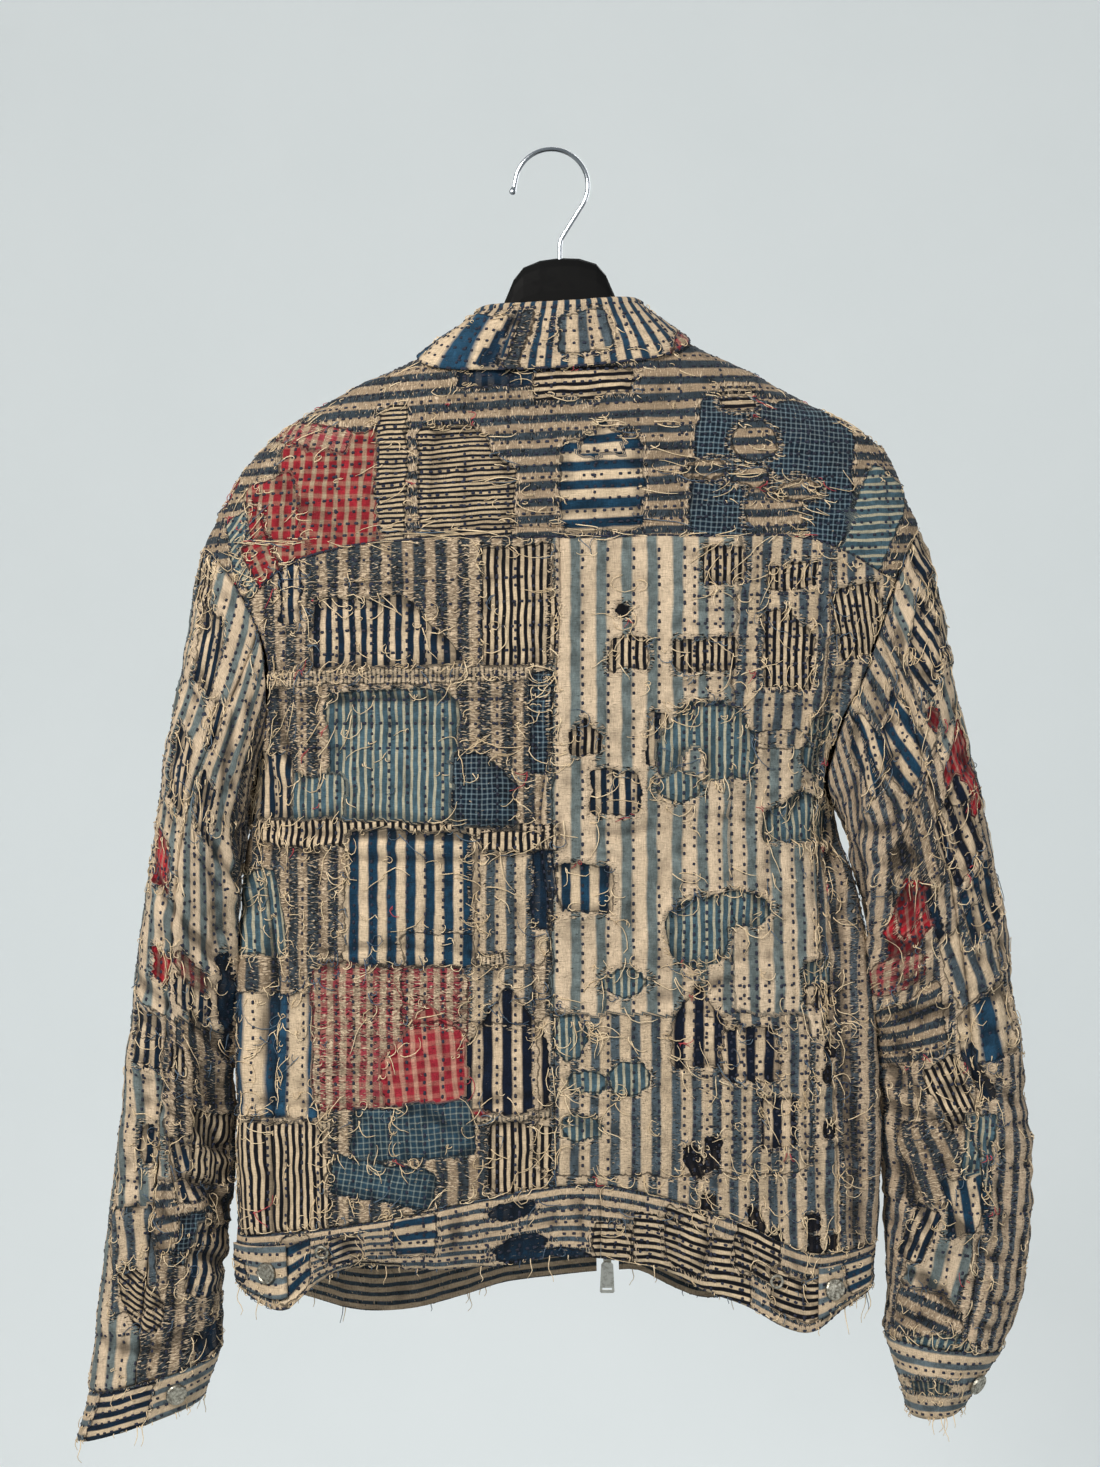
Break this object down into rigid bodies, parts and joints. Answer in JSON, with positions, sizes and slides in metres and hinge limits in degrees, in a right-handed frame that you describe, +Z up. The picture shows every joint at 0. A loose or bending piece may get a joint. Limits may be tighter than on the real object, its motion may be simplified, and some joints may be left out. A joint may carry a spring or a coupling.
{
  "type": "patched boro jacket on a hanger",
  "caption": "Patched and stitched boro-style work jacket with a zip front, hanging back to the viewer on a hanger with a wire hook.",
  "frame": {"origin": "inside top of the hanger hook's bend, where the rail or link bears", "axes": "+Z up, +X to the viewer's right as the jacket's back is seen, +Y towards the jacket's front"},
  "size_m": [0.6794, 0.1198, 0.9208],
  "materials": {
    "boro_cloth": "worn cotton in several stitched layers",
    "zip_tape": "black woven tape",
    "zip_metal": "polished",
    "button_metal": "aged",
    "hanger_plastic": "soft black",
    "hook_chrome": "polished"
  },
  "bodies": {
    "jacket": {"back_panel_left": "boro_cloth", "back_panel_right": "boro_cloth", "back_yoke": "boro_cloth", "collar": "boro_cloth", "cuff_button_left": "button_metal", "cuff_button_right": "button_metal", "cuff_left": "boro_cloth", "cuff_right": "boro_cloth", "front_panel_left": "boro_cloth", "front_panel_right": "boro_cloth", "hanger_body": "hanger_plastic", "hanger_hook": "hook_chrome", "ring_stud_left": "button_metal", "ring_stud_right": "button_metal", "side_panel_left": "boro_cloth", "side_panel_right": "boro_cloth", "sleeve_outer_left": "boro_cloth", "sleeve_outer_right": "boro_cloth", "sleeve_under_left": "boro_cloth", "sleeve_under_right": "boro_cloth", "tab_button_left": "button_metal", "tab_button_right": "button_metal", "waist_tab_left": "boro_cloth", "waist_tab_right": "boro_cloth", "waistband_left": "boro_cloth", "waistband_right": "boro_cloth", "zip_slider": "zip_metal", "zip_tape_left": "zip_tape", "zip_tape_right": "zip_tape"},
    "pull": {"zip_pull": "zip_metal"}
  },
  "joints": [
    {"name": "zip_pull_swing", "type": "hinge", "parent": "jacket", "child": "pull", "pos_m": [0.041, 0.05459, -0.797], "axis": [1, 0, 0], "range_deg": [0, 150]}
  ]
}
